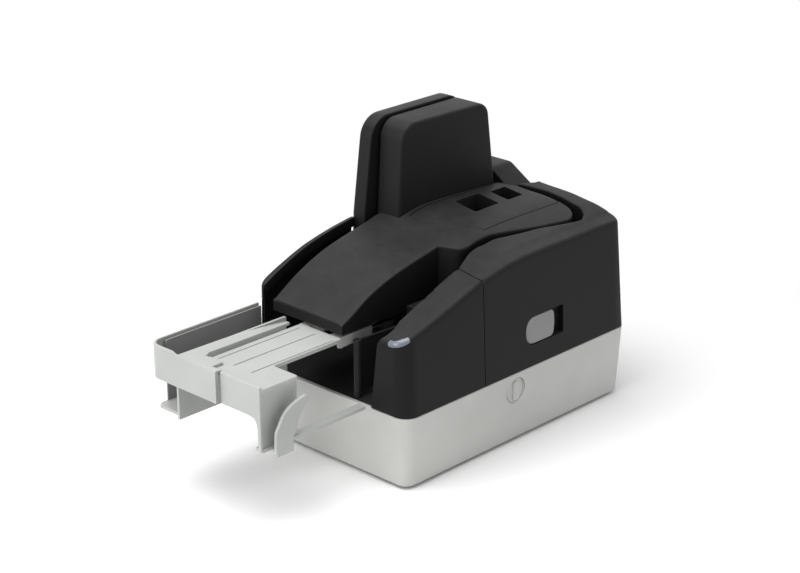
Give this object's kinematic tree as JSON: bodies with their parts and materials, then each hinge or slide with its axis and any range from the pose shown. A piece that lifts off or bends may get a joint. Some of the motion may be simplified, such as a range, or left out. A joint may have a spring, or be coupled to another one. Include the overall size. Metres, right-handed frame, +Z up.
{
  "type": "cheque scanner",
  "caption": "Desk-top cheque scanner with a side feeder, a U-shaped document path, an upright scanning tower and a sliding tray drawer at the front.",
  "frame": {"origin": "centre of the footprint of the whole machine with its tray drawer open, on the surface that it stands on", "axes": "+X to the right seen from the front, +Y to the rear, +Z up"},
  "size_m": [0.1238, 0.2842, 0.1833],
  "materials": {
    "base_plastic": "satin light grey moulded plastic",
    "black_plastic": "fine textured black moulded plastic",
    "tray_plastic": "light grey moulded plastic",
    "grey_plastic": "mid grey moulded plastic",
    "dark_plastic": "matt near-black plastic",
    "light_plastic": "milky translucent light window",
    "rubber": "matt black rubber",
    "steel": "bright steel",
    "brass": "turned brass",
    "glass": "clear polished glass",
    "circuit_board": "green lacquered board"
  },
  "bodies": {
    "housing": {"base_tub": "base_plastic", "bottom_plate": "black_plastic", "front_foot": "rubber", "rear_foot": "rubber", "housing_screw_1": "steel", "housing_screw_2": "steel", "housing_screw_3": "steel", "housing_screw_4": "steel", "transport_bed": "dark_plastic", "main_board": "circuit_board", "dc_inlet": "dark_plastic", "usb_socket": "steel", "switch_frame": "dark_plastic", "nose_cover": "black_plastic", "status_light": "light_plastic", "hinge_pin": "steel", "left_cover": "black_plastic", "centre_cover": "black_plastic", "rear_cover": "black_plastic", "outer_scan_cover": "black_plastic", "inner_scan_cover": "black_plastic", "inner_path_guide": "black_plastic", "magnetic_read_head": "steel", "magnetising_magnet": "steel", "transport_motor": "steel", "timing_belt": "rubber", "feed_motor": "steel", "feed_belt": "rubber", "separator_block": "dark_plastic", "outer_scan_glass": "glass", "inner_scan_glass": "glass", "outer_image_sensor": "grey_plastic", "inner_image_sensor": "grey_plastic", "imprinter_cartridge": "grey_plastic", "cartridge_holder": "dark_plastic", "tray_rails": "steel"},
    "access_door": {"access_cover": "black_plastic"},
    "release_button": {"release_button": "grey_plastic"},
    "cartridge_door": {"cartridge_cover": "black_plastic"},
    "tray_drawer": {"eject_tray": "tray_plastic", "eject_guide_panel": "grey_plastic", "feed_tray": "tray_plastic"},
    "lock_knob": {"lock_knob": "grey_plastic"},
    "power_switch": {"power_switch": "dark_plastic"},
    "pressure_flap": {"pressure_flap": "dark_plastic"},
    "drive_1": {"drive_shaft_1": "steel", "drive_roller_1": "rubber"},
    "drive_2": {"drive_shaft_2": "steel", "drive_roller_2": "rubber"},
    "drive_3": {"drive_shaft_3": "steel", "drive_roller_3": "rubber"},
    "motor_pulley": {"motor_pulley": "brass"},
    "pinch_1": {"pinch_roller_1": "grey_plastic"},
    "pinch_2": {"pinch_roller_2": "grey_plastic"},
    "pinch_3": {"pinch_roller_3": "grey_plastic"},
    "feed": {"feed_shaft": "steel", "feed_roller": "rubber"},
    "pick": {"pick_shaft": "steel", "pick_roller": "rubber"},
    "retard": {"retard_roller": "rubber"}
  },
  "joints": [
    {"name": "access_hinge", "type": "hinge", "parent": "housing", "child": "access_door", "pos_m": [-0.0074, 0.13535, 0.0463], "axis": [0, 0, 1], "range_deg": [0, 60]},
    {"name": "release_slide", "type": "slide", "parent": "access_door", "child": "release_button", "axis": [0, 1, 0], "range_m": [0, 0.006], "stiffness_N_per_m": 150},
    {"name": "cartridge_hinge", "type": "hinge", "parent": "housing", "child": "cartridge_door", "pos_m": [-0.0014, 0.03435, 0.1243], "axis": [1, 0, 0], "range_deg": [0, 70]},
    {"name": "tray_slide", "type": "slide", "parent": "housing", "child": "tray_drawer", "axis": [0, 1, 0], "range_m": [0, 0.052]},
    {"name": "knob_turn", "type": "hinge", "parent": "housing", "child": "lock_knob", "pos_m": [0.06118, 0.03955, 0.0346], "axis": [1, 0, 0], "range_deg": [0, 90]},
    {"name": "switch_rock", "type": "hinge", "parent": "housing", "child": "power_switch", "pos_m": [0.0401, 0.13465, 0.0197], "axis": [1, 0, 0], "range_deg": [0, 14]},
    {"name": "flap_swing", "type": "hinge", "parent": "housing", "child": "pressure_flap", "pos_m": [0.0171, -0.04915, 0.0498], "axis": [0, 0, -1], "range_deg": [0, 20], "stiffness_Nm_per_rad": 0.01},
    {"name": "drive_spin", "type": "hinge", "parent": "housing", "child": "drive_1", "pos_m": [0.02329, 0.04027, 0.0457], "axis": [0, 0, 1], "continuous": true},
    {"name": "drive_2_spin", "type": "hinge", "parent": "housing", "child": "drive_2", "pos_m": [0.03323, 0.08802, 0.0457], "axis": [0, 0, 1], "continuous": true},
    {"name": "drive_3_spin", "type": "hinge", "parent": "housing", "child": "drive_3", "pos_m": [-0.0404, 0.08984, 0.0457], "axis": [0, 0, 1], "continuous": true},
    {"name": "motor_spin", "type": "hinge", "parent": "housing", "child": "motor_pulley", "pos_m": [-0.0094, 0.02285, 0.0383], "axis": [0, 0, 1], "continuous": true},
    {"name": "pinch_1_spin", "type": "hinge", "parent": "access_door", "child": "pinch_1", "pos_m": [0.03289, 0.04027, 0.0457], "axis": [0, 0, 1], "continuous": true},
    {"name": "pinch_2_spin", "type": "hinge", "parent": "access_door", "child": "pinch_2", "pos_m": [0.04241, 0.08522, 0.0457], "axis": [0, 0, 1], "continuous": true},
    {"name": "pinch_3_spin", "type": "hinge", "parent": "housing", "child": "pinch_3", "pos_m": [-0.05, 0.08984, 0.0457], "axis": [0, 0, 1], "continuous": true},
    {"name": "feed_spin", "type": "hinge", "parent": "housing", "child": "feed", "pos_m": [0.0446, 0.00085, 0.0457], "axis": [0, 0, 1], "continuous": true},
    {"name": "pick_spin", "type": "hinge", "parent": "housing", "child": "pick", "pos_m": [0.0461, -0.02915, 0.0457], "axis": [0, 0, 1], "continuous": true},
    {"name": "retard_spin", "type": "hinge", "parent": "housing", "child": "retard", "pos_m": [0.0291, 0.00085, 0.0457], "axis": [0, 0, 1], "continuous": true}
  ],
  "couplings": [
    {"joint": "drive_2_spin", "follows": "drive_spin", "ratio": 1},
    {"joint": "drive_3_spin", "follows": "drive_spin", "ratio": 1},
    {"joint": "motor_spin", "follows": "drive_spin", "ratio": 1.25},
    {"joint": "pinch_1_spin", "follows": "drive_spin", "ratio": -1.5714},
    {"joint": "pinch_2_spin", "follows": "drive_spin", "ratio": -1.5714},
    {"joint": "pinch_3_spin", "follows": "drive_spin", "ratio": -1.5714},
    {"joint": "pick_spin", "follows": "feed_spin", "ratio": 1}
  ]
}
